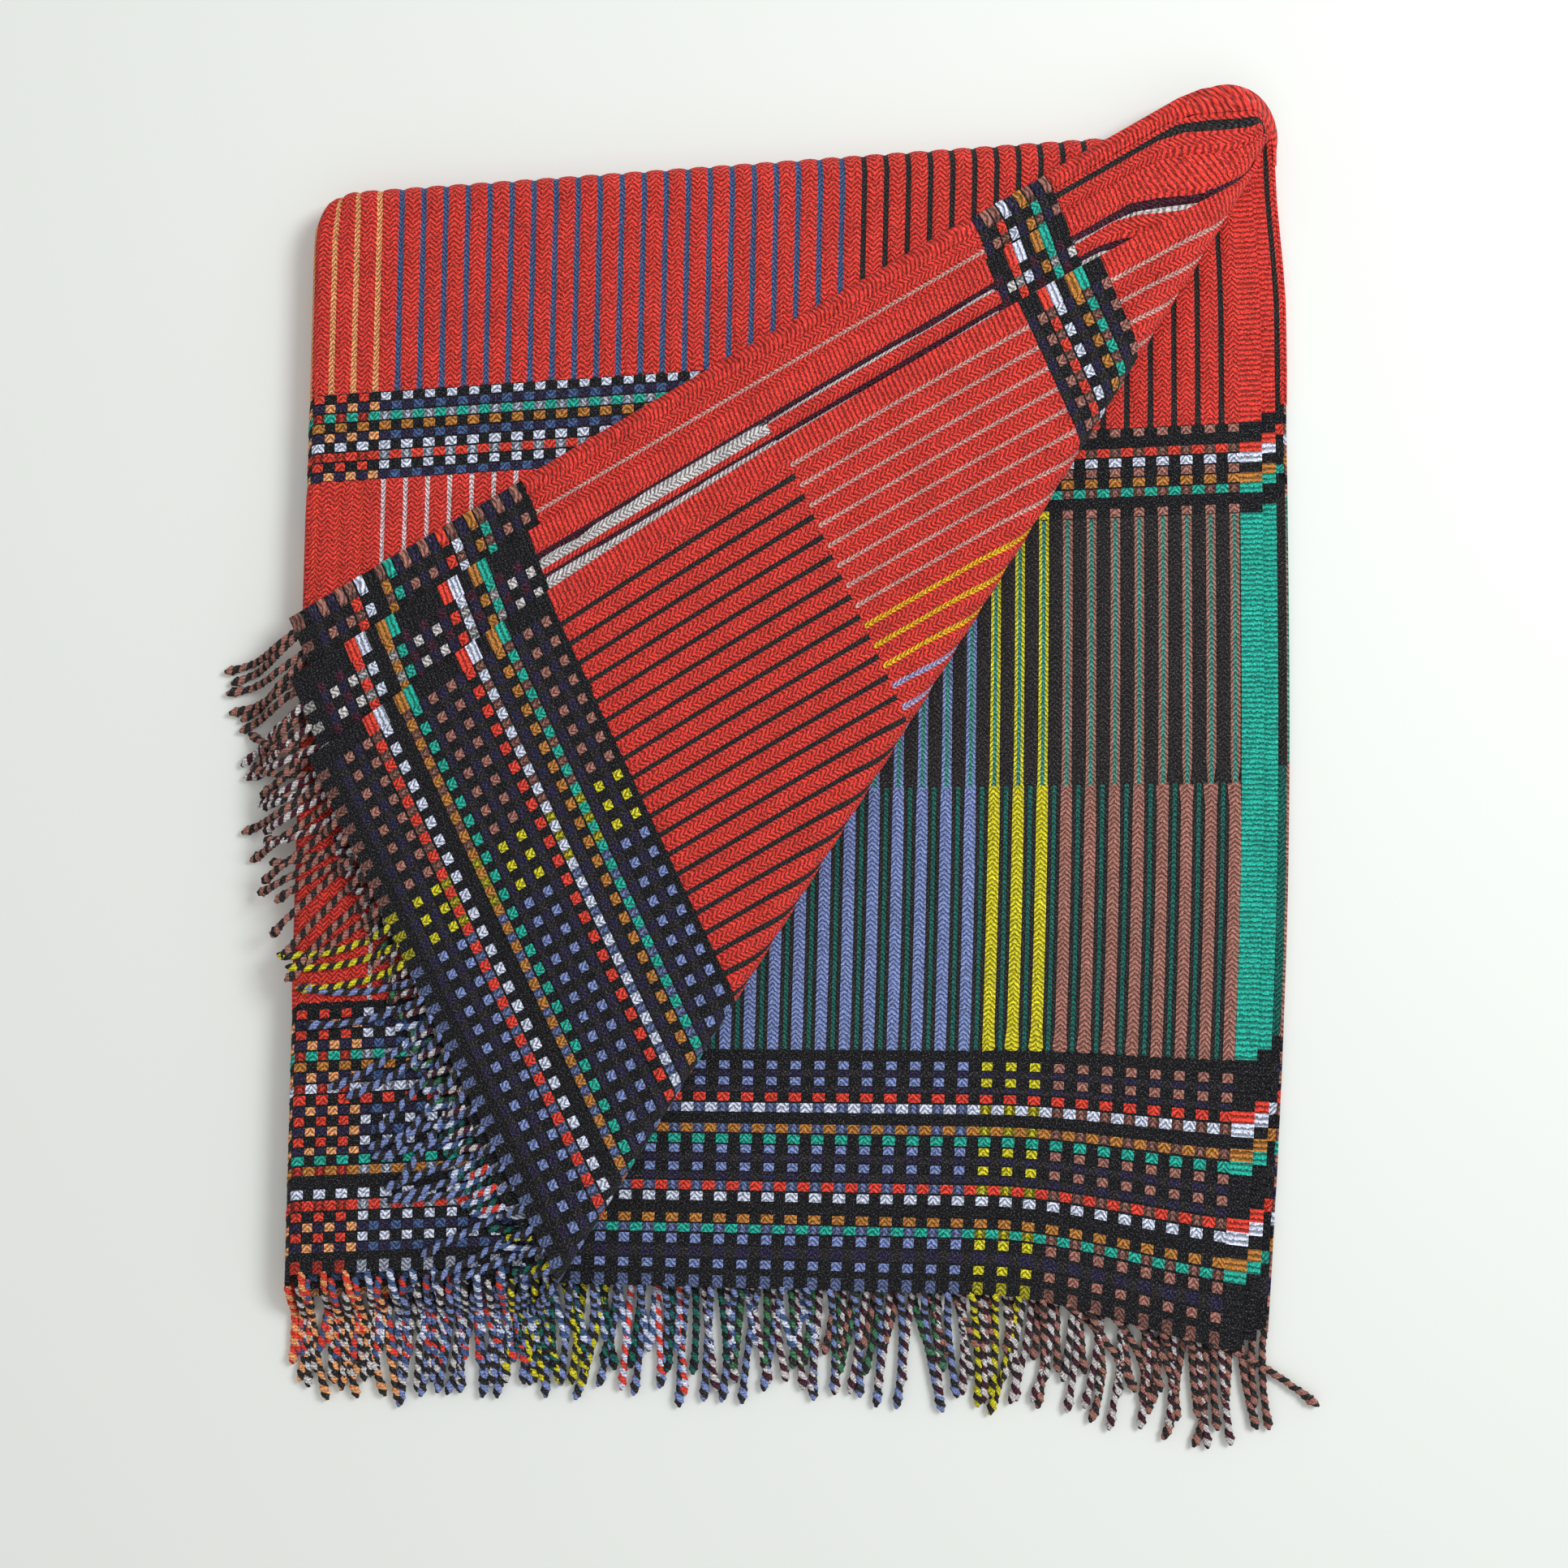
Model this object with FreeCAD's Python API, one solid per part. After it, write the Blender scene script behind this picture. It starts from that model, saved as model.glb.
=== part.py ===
"""A fringed woven throw, folded into eight plies with one corner of its upper half turned back.

Millimetres, +Z up. The origin is on the surface that the folded throw rests on, at its middle.
The throw is one cloth. It is folded twice lengthwise into four plies, then once crosswise into
eight, so each stretch of ply and each fold is a node of its own. Plies are numbered from the
inside of the crosswise fold outwards: in the lower half ply 1 is the top one, in the upper half
ply 1 is the bottom one, and in the turned corner ply 1 is the top one again.
"""

import FreeCAD
import Part
import math
import os

# ---- cloth ----
PLY_THICKNESS = 1.7
PLY_GAP = 0.3
PLY_PITCH = PLY_THICKNESS + PLY_GAP
PLY_COUNT = 4
FRINGE_LENGTH = 44.0
FRINGE_DIAMETER = 1.7

# ---- heights of the fold axes, above the surface that the throw rests on ----
STACK_HEIGHT = PLY_COUNT * PLY_PITCH
TOP_FOLD_Z = STACK_HEIGHT - PLY_GAP / 2
CORNER_FOLD_Z = TOP_FOLD_Z + STACK_HEIGHT
LOWER_MIDDLE_Z = TOP_FOLD_Z - STACK_HEIGHT / 2
UPPER_MIDDLE_Z = TOP_FOLD_Z + STACK_HEIGHT / 2

# ---- plan of the folded pack: where its flat plies end ----
TOP_LEFT = FreeCAD.Vector(-169.9, 201.6, 0)
TOP_RIGHT = FreeCAD.Vector(180.6, 226.8, 0)
LOWER_BOTTOM_LEFT = FreeCAD.Vector(-181.2, -186.0, 0)
LOWER_BOTTOM_RIGHT = FreeCAD.Vector(174.0, -196.0, 0)
UPPER_BOTTOM_LEFT = FreeCAD.Vector(-181.2, -193.3, 0)
UPPER_BOTTOM_DIAGONAL = FreeCAD.Vector(-94.0, -187.0, 0)
CORNER_SAG = 16.0
CORNER_SAG_START = 60.0

# ---- the diagonal along which the upper half's corner is turned back: where it meets the
# crosswise fold, as a share of that fold's length ----
DIAGONAL_SHARE = 0.954
DIAGONAL_TOP = TOP_LEFT + (TOP_RIGHT - TOP_LEFT) * DIAGONAL_SHARE

# ---- how far short of the crosswise fold the lengthwise folds stop ----
FOLD_END_GAP = 0.8

# ---- how far the two free woven edges of each half lie inside its right-hand fold ----
EDGE_INSET = {1: 7.8, 2: 0.6}

# ---- plan of the turned corner's upper-left edge, ply by ply, from the corner outwards ----
TURNED_EDGE = {
    1: [(95, 180), (-19, 111), (-178, 4)],
    2: [(159.5, 233.3), (70, 183), (-51, 112), (-177, 37)],
    3: [(157, 239.6), (66, 198), (-22, 144), (-177, 55)],
    4: [(157, 239.6), (66, 198), (-22, 144), (-177, 55)],
}

# ---- how far down the diagonal the innermost ply's free edge leaves the diagonal fold ----
DIAGONAL_EDGE_START = {1: 24.0}

# ---- fringe ----
LOWER_FRINGES = 27
SAGGING_FRINGES = 14
LEFT_UPPER_FRINGES = 10
TURNED_FRINGES = 22
SPLAYED_FRINGES = 2
SPLAYED_FRINGE_TURN = 58.0
SPLAYED_FRINGE_STEP = 6.0
SPLAYED_FRINGE_PLACE = 8.0
FRINGE_MARGIN = 3.0

# ---- the bunched turn at the corner, where the crosswise fold runs into the diagonal ----
TURN_RADIUS = 17.0
TURN_ANGLES = (4.1, 35, 65, 94.1)

UP = FreeCAD.Vector(0, 0, 1)

os.makedirs("parts", exist_ok=True)


def fold_radius(ply):
    """Radius of a ply's middle where four plies fold together, ply 1 innermost."""
    return (2 * ply - 1) * PLY_PITCH / 2


def lower_z(ply):
    return TOP_FOLD_Z - fold_radius(ply)


def upper_z(ply):
    return TOP_FOLD_Z + fold_radius(ply)


def turned_z(ply):
    return CORNER_FOLD_Z + fold_radius(PLY_COUNT + 1 - ply)


def save(name, shape):
    shape.exportStep("parts/" + name + ".step")
    low, high = shape.BoundBox.ZMin, shape.BoundBox.ZMax
    volume = shape.Volume / 1000
    print(f"{name:24s} {len(shape.Solids):3d} solids, z {low:6.2f} to {high:6.2f}, {volume:7.2f} cm3")


def slab(points, z_middle):
    """A ply: a plan outline made one cloth thickness high."""
    z = z_middle - PLY_THICKNESS / 2
    corners = [FreeCAD.Vector(p.x, p.y, z) for p in points]
    face = Part.Face(Part.makePolygon(corners + corners[:1]))
    return face.extrude(UP * PLY_THICKNESS)


def half_roll(start, end, outward, z_axis, radius):
    """Cloth turned half round a straight fold line that runs from start to end."""
    rim = []
    for r in (radius + PLY_THICKNESS / 2, radius - PLY_THICKNESS / 2):
        centre = FreeCAD.Vector(start.x, start.y, z_axis)
        rim.append((centre - UP * r, centre + outward * r, centre + UP * r))
    outer, inner = rim
    edges = [
        Part.Arc(*outer).toShape(),
        Part.makeLine(outer[2], inner[2]),
        Part.Arc(inner[2], inner[1], inner[0]).toShape(),
        Part.makeLine(inner[0], outer[0]),
    ]
    face = Part.Face(Part.Wire(edges))
    return face.extrude(FreeCAD.Vector(end.x - start.x, end.y - start.y, 0))


def across(start, end, side):
    """The level direction square to a line in plan, on its left (1) or its right (-1)."""
    along = (end - start).normalize()
    return FreeCAD.Vector(-along.y, along.x, 0) * side


def rod(start, direction, z_middle, length):
    """One fringe cord, lying level."""
    base = FreeCAD.Vector(start.x, start.y, z_middle)
    return Part.makeCylinder(FRINGE_DIAMETER / 2, length, base, direction)


def fringe_row(start, end, direction, z_middle, count):
    """Fringe cords evenly spaced along a woven end, all lying one way."""
    cords = []
    span = end - start
    for i in range(count):
        place = start + span * ((i + 0.5) / count)
        cords.append(rod(place + direction * PLY_GAP, direction, z_middle, FRINGE_LENGTH))
    return cords


def toward(start, end, length):
    return start + (end - start).normalize() * length


# The throw's lower half. The middle of each ply is shorter the further out it lies in the
# crosswise fold, because the fold takes more of it.
right_down = (LOWER_BOTTOM_RIGHT - TOP_RIGHT).normalize()
left_down = (LOWER_BOTTOM_LEFT - TOP_LEFT).normalize()
bottom_right_way = (LOWER_BOTTOM_LEFT - LOWER_BOTTOM_RIGHT).normalize()
for ply in range(1, PLY_COUNT + 1):
    taken = math.pi * (fold_radius(ply) - fold_radius(1)) / 2
    inset = EDGE_INSET.get(ply, 0.0)
    top_right = toward(TOP_RIGHT, TOP_LEFT, inset) if inset else TOP_RIGHT
    bottom_right = LOWER_BOTTOM_RIGHT + bottom_right_way * inset - right_down * taken
    bottom_left = LOWER_BOTTOM_LEFT - left_down * taken
    sag_start = FreeCAD.Vector(CORNER_SAG_START, 0, 0)
    share = (CORNER_SAG_START - bottom_left.x) / (bottom_right.x - bottom_left.x)
    sag_start.y = bottom_left.y + share * (bottom_right.y - bottom_left.y)
    low_corner = bottom_right + right_down * CORNER_SAG
    outline = [TOP_LEFT, top_right, low_corner, sag_start, bottom_left]
    save(f"lower_ply_{ply}", slab(outline, lower_z(ply)))

    z = lower_z(ply)
    first = toward(bottom_left, sag_start, FRINGE_MARGIN)
    last = toward(low_corner, sag_start, 2 * FRINGE_MARGIN)
    cords = fringe_row(first, sag_start, right_down, z, LOWER_FRINGES)
    cords += fringe_row(sag_start, last, right_down, z, SAGGING_FRINGES)
    if ply == 1:
        for i in range(SPLAYED_FRINGES):
            turn = FreeCAD.Rotation(UP, SPLAYED_FRINGE_TURN + SPLAYED_FRINGE_STEP * i)
            place = low_corner - right_down * SPLAYED_FRINGE_PLACE * (i + 1)
            place = place + FreeCAD.Vector(FRINGE_DIAMETER, 0, 0)
            cords.append(rod(place, turn.multVec(right_down), z, FRINGE_LENGTH))
    save(f"lower_fringe_{ply}", Part.makeCompound(cords))

# Lengthwise folds of the lower half: plies 1 and 4 join on the left round plies 2 and 3, and
# plies 3 and 4 join on the right.
outer_taken = math.pi * (fold_radius(4) - fold_radius(1)) / 2
left_end = LOWER_BOTTOM_LEFT - left_down * outer_taken
right_end = LOWER_BOTTOM_RIGHT - right_down * outer_taken
left = across(TOP_LEFT, LOWER_BOTTOM_LEFT, -1)
right = across(TOP_RIGHT, LOWER_BOTTOM_RIGHT, 1)
left_start = toward(TOP_LEFT, left_end, FOLD_END_GAP)
save(
    "lower_left_outer_fold",
    half_roll(left_start, left_end, left, LOWER_MIDDLE_Z, 3 * PLY_PITCH / 2),
)
save("lower_left_inner_fold", half_roll(left_start, left_end, left, LOWER_MIDDLE_Z, PLY_PITCH / 2))
lower_right_z = lower_z(4) + PLY_PITCH / 2
save("lower_right_fold", half_roll(TOP_RIGHT, right_end, right, lower_right_z, PLY_PITCH / 2))

# The crosswise fold, which joins the two halves along the top edge.
over = across(TOP_LEFT, TOP_RIGHT, 1)
for ply in range(1, PLY_COUNT + 1):
    roll = half_roll(TOP_LEFT, DIAGONAL_TOP, over, TOP_FOLD_Z, fold_radius(ply))
    save(f"top_fold_{ply}", roll)

# What stays down of the upper half, left of the diagonal.
upper_left_down = (UPPER_BOTTOM_LEFT - TOP_LEFT).normalize()
for ply in range(1, PLY_COUNT + 1):
    taken = math.pi * (fold_radius(ply) - fold_radius(1)) / 2
    bottom_left = UPPER_BOTTOM_LEFT - upper_left_down * taken
    bottom_right = toward(UPPER_BOTTOM_DIAGONAL, DIAGONAL_TOP, taken)
    outline = [TOP_LEFT, DIAGONAL_TOP, bottom_right, bottom_left]
    save(f"upper_ply_{ply}", slab(outline, upper_z(ply)))
    cords = fringe_row(
        toward(bottom_left, bottom_right, FRINGE_MARGIN),
        bottom_right,
        upper_left_down,
        upper_z(ply),
        LEFT_UPPER_FRINGES,
    )
    save(f"upper_fringe_{ply}", Part.makeCompound(cords))

upper_left_end = UPPER_BOTTOM_LEFT - upper_left_down * outer_taken
left = across(TOP_LEFT, UPPER_BOTTOM_LEFT, -1)
left_start = toward(TOP_LEFT, upper_left_end, FOLD_END_GAP)
save(
    "upper_left_outer_fold",
    half_roll(left_start, upper_left_end, left, UPPER_MIDDLE_Z, 3 * PLY_PITCH / 2),
)
save(
    "upper_left_inner_fold",
    half_roll(left_start, upper_left_end, left, UPPER_MIDDLE_Z, PLY_PITCH / 2),
)

# The turned-back corner: its diagonal fold, its plies and its own lengthwise fold.
diagonal_out = across(DIAGONAL_TOP, UPPER_BOTTOM_DIAGONAL, 1)
for ply in range(1, PLY_COUNT + 1):
    radius = fold_radius(PLY_COUNT + 1 - ply)
    taken = math.pi * (fold_radius(ply) - fold_radius(1)) / 2
    end = toward(UPPER_BOTTOM_DIAGONAL, DIAGONAL_TOP, taken)
    start = toward(DIAGONAL_TOP, UPPER_BOTTOM_DIAGONAL, DIAGONAL_EDGE_START.get(ply, 0.0))
    roll = half_roll(start, end, diagonal_out, CORNER_FOLD_Z, radius)
    save(f"diagonal_fold_{ply}", roll)

    edge = [FreeCAD.Vector(x, y, 0) for x, y in TURNED_EDGE[ply]]
    save(f"corner_ply_{ply}", slab([start] + edge + [end], turned_z(ply)))

    woven_end = edge[-1]
    outward = across(end, woven_end, 1)
    cords = fringe_row(
        toward(woven_end, end, FRINGE_MARGIN),
        toward(end, woven_end, FRINGE_MARGIN),
        outward,
        turned_z(ply),
        TURNED_FRINGES,
    )
    save(f"corner_fringe_{ply}", Part.makeCompound(cords))

roll_points = [FreeCAD.Vector(x, y, 0) for x, y in TURNED_EDGE[4]]
roll_start, roll_end = roll_points[1], roll_points[-2]
roll_out = across(roll_start, roll_end, -1)
roll = half_roll(roll_start, roll_end, roll_out, turned_z(4) + PLY_PITCH / 2, PLY_PITCH / 2)
save("corner_right_fold", roll)

# Where the crosswise fold runs into the diagonal, the four plies turn round the corner together.
corner = [DIAGONAL_TOP]
for degrees in TURN_ANGLES:
    a = math.radians(degrees)
    corner.append(DIAGONAL_TOP + FreeCAD.Vector(math.cos(a), math.sin(a), 0) * TURN_RADIUS)
outline = Part.makePolygon(corner + corner[:1])
turn = Part.Face(outline).extrude(UP * (CORNER_FOLD_Z - PLY_GAP / 2))
save("corner_turn", turn)
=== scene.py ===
# %% [markdown]
# # A folded woven throw
# The real object is one lambswool double cloth, folded twice lengthwise and once crosswise into
# eight plies, with one corner of its upper half turned back. The folded pack moves at two folds,
# so the cloth is made ply by ply: flat plies ride on a body, and the bends between them are pieces
# of their own, left in place.

# %% Load the imported model
import bpy
import bmesh
import math
import random
import numpy as np
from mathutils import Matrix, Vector


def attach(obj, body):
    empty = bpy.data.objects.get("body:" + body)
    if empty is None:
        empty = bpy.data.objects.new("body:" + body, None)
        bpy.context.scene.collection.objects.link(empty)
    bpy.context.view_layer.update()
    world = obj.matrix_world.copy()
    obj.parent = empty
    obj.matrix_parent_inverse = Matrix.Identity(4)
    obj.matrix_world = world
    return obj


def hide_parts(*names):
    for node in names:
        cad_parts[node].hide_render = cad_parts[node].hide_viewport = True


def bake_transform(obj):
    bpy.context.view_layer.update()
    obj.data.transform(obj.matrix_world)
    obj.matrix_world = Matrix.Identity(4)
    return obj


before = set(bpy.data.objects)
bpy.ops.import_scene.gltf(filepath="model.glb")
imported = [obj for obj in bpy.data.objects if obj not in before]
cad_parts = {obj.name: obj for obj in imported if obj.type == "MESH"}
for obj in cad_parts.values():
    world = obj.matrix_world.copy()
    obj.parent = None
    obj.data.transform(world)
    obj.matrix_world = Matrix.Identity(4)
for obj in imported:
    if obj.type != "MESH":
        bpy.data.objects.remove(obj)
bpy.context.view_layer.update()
MM = 0.001

# %% [markdown]
# ## Camera
# The throw lies on a table and is seen from straight above, so the camera looks down from a bit
# under a metre with a field of view that leaves a margin of table round the cloth.

# %% Camera, looking straight down
CAMERA_HEIGHT = 0.8
VIEW_WIDTH = 0.5796
camera = bpy.data.objects.new("camera", bpy.data.cameras.new("camera"))
bpy.context.scene.collection.objects.link(camera)
camera.location = (-0.003, -0.006, CAMERA_HEIGHT)
camera.data.angle = 2 * math.atan(VIEW_WIDTH / 2 / CAMERA_HEIGHT)
bpy.context.scene.camera = camera
print("camera looks down from", CAMERA_HEIGHT, "m")

# %% [markdown]
# ## The folds
# Everything about the shape follows from where the cloth is folded. The cloth has two flat
# coordinates: u runs across it from one woven edge to the other, v runs along the warp from one
# fringe to the other, both in millimetres. Two functions turn a flat place into a folded one.
# Ply 1 is the innermost of the crosswise fold. A ply's fold radius is its distance from that
# fold's axis, and it grows by one cloth pitch from ply to ply.

# %% Fold lines and lengths, in millimetres
PLY_PITCH = 2.0
CLOTH_THICKNESS = 1.7
HALF_PACK = 4 * PLY_PITCH
# the lowest ply lies right on the table, without the air that lies below the others
AIR_BELOW = 0.15
TOP_FOLD_Z = HALF_PACK - AIR_BELOW
CORNER_FOLD_Z = TOP_FOLD_Z + HALF_PACK
PLY_RADIUS = {ply: (ply - 0.5) * PLY_PITCH for ply in (1, 2, 3, 4)}
BEND = {ply: math.pi / 2 * radius for ply, radius in PLY_RADIUS.items()}
TOP_LEFT = np.array([-169.9, 201.6])
TOP_RIGHT = np.array([180.6, 226.8])
LOWER_LEFT = np.array([-181.2, -186.0])
LOWER_RIGHT = np.array([174.0, -196.0])
UPPER_LEFT = np.array([-181.2, -193.3])
UPPER_RIGHT = np.array([173.0, -179.0])
DIAGONAL_SHARE = 0.954
DIAGONAL_TOP = TOP_LEFT + DIAGONAL_SHARE * (TOP_RIGHT - TOP_LEFT)
DIAGONAL_END = np.array([-94.0, -187.0])
EDGE_INSET = 9.3
SECOND_EDGE_INSET = 3.9
WARP_LENGTH = 805.0
MIDDLE = 407.0


def unit(vector):
    """The same direction, one millimetre long."""
    return vector / np.linalg.norm(vector)


WIDTH = float(np.linalg.norm(TOP_RIGHT - TOP_LEFT))
TOP_WAY = unit(TOP_RIGHT - TOP_LEFT)
OVER = np.array([-TOP_WAY[1], TOP_WAY[0]])
APEX_ACROSS = DIAGONAL_SHARE * WIDTH
DOWN_DIAGONAL = unit(DIAGONAL_END - DIAGONAL_TOP)
OUT_DIAGONAL = np.array([-DOWN_DIAGONAL[1], DOWN_DIAGONAL[0]])

# Radii of the lengthwise folds. The outer one joins plies 1 and 4 round the inner one.
OUTER_ROLL = (PLY_RADIUS[4] - PLY_RADIUS[1]) / 2
RIGHT_ROLL = (PLY_RADIUS[4] - PLY_RADIUS[3]) / 2
INNER_ROLL = (PLY_RADIUS[3] - PLY_RADIUS[2]) / 2

# Where each of the cloth's passes across the pack and each lengthwise fold ends, in order of u.
PASS_1 = WIDTH - EDGE_INSET
OUTER_FOLD = PASS_1 + OUTER_ROLL * math.pi
PASS_4 = OUTER_FOLD + WIDTH
RIGHT_FOLD = PASS_4 + RIGHT_ROLL * math.pi
PASS_3 = RIGHT_FOLD + WIDTH
INNER_FOLD = PASS_3 + INNER_ROLL * math.pi
CLOTH_WIDTH = INNER_FOLD + WIDTH - SECOND_EDGE_INSET
print(f"flat cloth {CLOTH_WIDTH:.0f} x {WARP_LENGTH:.0f} mm, fold width {WIDTH:.0f} mm")


# %% From flat cloth to folded pack
def lengthwise(u):
    """Distance from the pack's left fold line, and fold radius, of a place across the cloth."""
    outer = (u - PASS_1) / OUTER_ROLL
    right = (u - PASS_4) / RIGHT_ROLL
    inner = (u - PASS_3) / INNER_ROLL
    first, second, third, fourth = (PLY_RADIUS[ply] + 0 * u for ply in (1, 2, 3, 4))
    outer_radius = first + OUTER_ROLL - OUTER_ROLL * np.cos(outer)
    right_radius = third + RIGHT_ROLL + RIGHT_ROLL * np.cos(right)
    inner_radius = second + INNER_ROLL + INNER_ROLL * np.cos(inner)
    parts = [
        (u <= PASS_1, PASS_1 - u, first),
        (u <= OUTER_FOLD, -OUTER_ROLL * np.sin(outer), outer_radius),
        (u <= PASS_4, u - OUTER_FOLD, fourth),
        (u <= RIGHT_FOLD, WIDTH + RIGHT_ROLL * np.sin(right), right_radius),
        (u <= PASS_3, WIDTH - (u - RIGHT_FOLD), third),
        (u <= INNER_FOLD, -INNER_ROLL * np.sin(inner), inner_radius),
        (u > INNER_FOLD, u - INNER_FOLD, second),
    ]
    across = np.select([p[0] for p in parts], [p[1] for p in parts])
    radius = np.select([p[0] for p in parts], [p[2] for p in parts])
    return across, radius


def smooth(t):
    """Eases from 0 to 1."""
    t = np.clip(t, 0, 1)
    return t * t * (3 - 2 * t)


# %% The lower half in plan
# the free corner's border has stretched and hangs lower than the rest: how far, and from where
# and over what distance it grows, rightwards and down the pack
SAG = 19
SAG_RIGHT_FROM = 70
SAG_RIGHT_RUN = 110
SAG_DOWN_FROM = 300
SAG_DOWN_RUN = 106
# the right-hand edge bulges a little, and is drawn in towards the crosswise fold
BULGE = 5.5
BULGE_LEAN = 1.4
DRAWN_IN = 4
DRAWN_IN_FROM = 300
DRAWN_IN_RUN = 52
DRAWN_IN_LENGTH = 60


def lower_plan(across, down):
    """Plan place in the lower half, down being the distance from the crosswise fold."""
    flat = MIDDLE - math.pi / 2
    share = (across / WIDTH)[:, None]
    t = (down / flat)[:, None]
    left = TOP_LEFT + (LOWER_LEFT - TOP_LEFT) * t
    right = TOP_RIGHT + (LOWER_RIGHT - TOP_RIGHT) * t
    plan = left + (right - left) * share
    sag = SAG * smooth((plan[:, 0] - SAG_RIGHT_FROM) / SAG_RIGHT_RUN)
    plan[:, 1] -= sag * np.clip((down - SAG_DOWN_FROM) / SAG_DOWN_RUN, 0, None)
    bulge = np.sin(math.pi * np.clip(t[:, 0], 0, 1) ** BULGE_LEAN)
    plan[:, 0] += BULGE * share[:, 0] ** 2 * bulge
    drawn_in = DRAWN_IN * smooth((across - DRAWN_IN_FROM) / DRAWN_IN_RUN)
    plan[:, 0] -= drawn_in * smooth(1 - down / DRAWN_IN_LENGTH)
    return plan


# %% The upper half in plan, and its turned-back corner
def upper_plan(across, down):
    """Plan place in the upper half before its corner is turned back."""
    flat = WARP_LENGTH - MIDDLE - math.pi / 2
    share = (across / WIDTH)[:, None]
    t = (down / flat)[:, None]
    left = TOP_LEFT + (UPPER_LEFT - TOP_LEFT) * t
    right = TOP_RIGHT + (UPPER_RIGHT - TOP_RIGHT) * t
    return left + (right - left) * share


# how far the turned corner's stripes swing away from a plain reflection, in degrees: at the
# diagonal, and the further swing by the woven end
SWING = {1: (0.0, 9.7), 2: (2.8, 2.0), 3: (2.6, 1.2), 4: (2.6, 1.2)}
# the distance down the cloth over which the further swing is reached, the width of the strip by
# the free edge where ply 1 takes it up, and the least share of it
SWING_RUN = 400
SWING_FADE = 250.0
SWING_LEAST = 0.02
# how far the turned corner's lower plies have slid away from the diagonal, and over what distance
SLID = {1: 0.0, 2: 13.0, 3: 14.0, 4: 14.0}
SLIDE_RUN = 14.0
# how far past the diagonal a place gets for each millimetre along its stripe
SLANT = 0.53
# the heading of a stripe of the turned corner, by reflection of the upper half's stripes
STRIPE_HEADING = 91.2
PLAIN_HEADING = (
    2 * math.atan2(-DOWN_DIAGONAL[1], -DOWN_DIAGONAL[0]) - math.radians(STRIPE_HEADING)
)
FLAP_AWAY = np.array([-math.cos(PLAIN_HEADING), -math.sin(PLAIN_HEADING)])
FLAP_SIDE = np.array([-FLAP_AWAY[1], FLAP_AWAY[0]])
# cloth length gained (over 1) or taken up (under 1) by each ply of the corner
FLAP_STRETCH = {1: 1.025, 2: 0.987, 3: 0.964, 4: 0.964}


def turn_back(plan, z, radius, across, down, ply):
    """Turns what lies right of the diagonal back over it."""
    fold = HALF_PACK - radius
    from_top = plan - DIAGONAL_TOP
    past = from_top @ OUT_DIAGONAL
    along = from_top @ DOWN_DIAGONAL
    line = DIAGONAL_TOP + along[:, None] * DOWN_DIAGONAL
    bend = np.clip(past / fold, 0, math.pi)
    over = np.clip(past - math.pi * fold, 0, None)
    offset = fold * np.sin(bend) - over
    turned = line + offset[:, None] * OUT_DIAGONAL
    height = CORNER_FOLD_Z - fold * np.cos(bend)
    # in-plane swing of the corner, along each stripe from where it leaves the diagonal fold
    first, rate = (math.radians(x) for x in SWING[ply])
    edge_distance = WIDTH - EDGE_INSET - across if ply == 1 else 0 * across
    rate = rate / SWING_RUN * np.clip(1 - edge_distance / SWING_FADE, SWING_LEAST, 1)
    start = np.clip(down - over / SLANT, 0, None)
    run = np.where(over > 0, down - start, 0)
    swing = first * run + rate * (down**2 - start**2) / 2 * (over > 0)
    shorten = ((first + rate * down) ** 3 - (first + rate * start) ** 3) / (6 * rate)
    shorten = np.where(over > 0, shorten, 0)
    turned += (run * (FLAP_STRETCH[ply] - 1) - shorten)[:, None] * FLAP_AWAY
    turned += swing[:, None] * FLAP_SIDE
    turned -= (SLID[ply] * smooth(over / SLIDE_RUN))[:, None] * OUT_DIAGONAL
    right = past > 0
    return np.where(right[:, None], turned, plan), np.where(right, height, z)


# %% The whole mapping, from a flat place to a folded one
# radius of the pack's top left corner in plan, and how far the folds stand out beyond it
CORNER_SIZE = 17.0
STANDS_OUT_LEFT = 4
STANDS_OUT_TOP = 7
# how far from the diagonal's top the wide turn takes over from the half roll
APEX_FADE = 12
# height of the shallow waves in the pack, reached this far above the table
WAVE = 0.45
WAVE_FULL_AT = 20


def corner_round(plan, across, down):
    """Rounds the pack's top left corner in plan."""
    a = np.clip(1 - (across + STANDS_OUT_LEFT) / CORNER_SIZE, 0, 1)
    b = np.clip(1 - (down + STANDS_OUT_TOP) / CORNER_SIZE, 0, 1)
    pull_left = CORNER_SIZE * a * (1 - np.sqrt(1 - b * b / 2))
    pull_top = CORNER_SIZE * b * (1 - np.sqrt(1 - a * a / 2))
    return plan + pull_left[:, None] * TOP_WAY - pull_top[:, None] * OVER


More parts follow.
